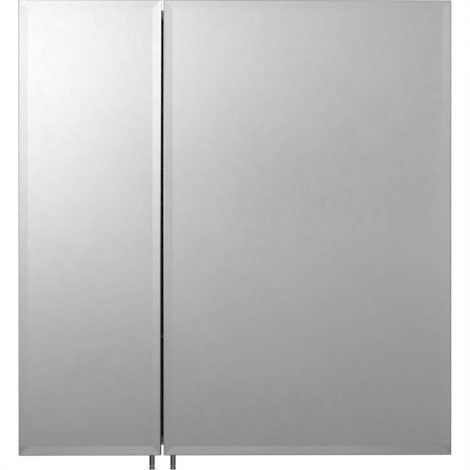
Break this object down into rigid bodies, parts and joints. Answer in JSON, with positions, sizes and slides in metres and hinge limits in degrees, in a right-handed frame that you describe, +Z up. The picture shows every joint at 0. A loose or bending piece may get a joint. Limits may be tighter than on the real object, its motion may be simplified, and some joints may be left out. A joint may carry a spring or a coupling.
{
  "type": "mirrored medicine cabinet",
  "caption": "Wall-hung medicine cabinet with a narrow and a wide bevelled mirror door, bar pulls under the doors and glass shelves inside.",
  "frame": {"origin": "centre of the four wall fixing holes, on the back face that rests on the wall", "axes": "+X to the right seen from the front, +Y into the wall, +Z up; the doors face -Y"},
  "size_m": [0.6096, 0.1333, 0.6629],
  "materials": {
    "white_board": "smooth white faced board",
    "back_sheet": "white faced fibre sheet",
    "dowel_wood": "plain beech",
    "mirror": "silvered glass, polished bevel",
    "shelf_glass": "clear float glass",
    "chrome": "polished chrome",
    "hinge_steel": "nickel plated",
    "spring_steel": "plain spring steel",
    "screw_steel": "zinc plated",
    "rubber": "soft translucent bumper"
  },
  "bodies": {
    "box": {"left_side_board": "white_board", "right_side_board": "white_board", "top_board": "white_board", "bottom_board": "white_board", "back_panel": "back_sheet", "upper_fixing_rail": "white_board", "lower_fixing_rail": "white_board", "assembly_screws": "screw_steel", "dowels": "dowel_wood", "back_panel_screws": "screw_steel", "upper_shelf": "shelf_glass", "middle_shelf": "shelf_glass", "lower_shelf": "shelf_glass", "shelf_pins": "screw_steel", "hinge_mounting_plates": "hinge_steel", "hinge_plate_screws": "screw_steel", "left_hinge_arms": "hinge_steel", "right_hinge_arms": "hinge_steel", "hinge_arm_screws": "screw_steel"},
    "left_door": {"left_mirror": "mirror", "left_door_board": "white_board", "left_hinge_cups": "hinge_steel", "left_hinge_pins": "hinge_steel", "left_hinge_springs": "spring_steel", "left_cup_screws": "screw_steel", "left_pull": "chrome", "left_pull_stud": "screw_steel", "left_bumpers": "rubber"},
    "right_door": {"right_mirror": "mirror", "right_door_board": "white_board", "right_hinge_cups": "hinge_steel", "right_hinge_pins": "hinge_steel", "right_hinge_springs": "spring_steel", "right_cup_screws": "screw_steel", "right_pull": "chrome", "right_pull_stud": "screw_steel", "right_bumpers": "rubber"}
  },
  "joints": [
    {"name": "left_door_hinge", "type": "hinge", "parent": "box", "child": "left_door", "pos_m": [-0.2965, -0.12185, 0], "axis": [0, 0, -1], "range_deg": [0, 105]},
    {"name": "right_door_hinge", "type": "hinge", "parent": "box", "child": "right_door", "pos_m": [0.2965, -0.12185, 0], "axis": [0, 0, 1], "range_deg": [0, 105]}
  ]
}
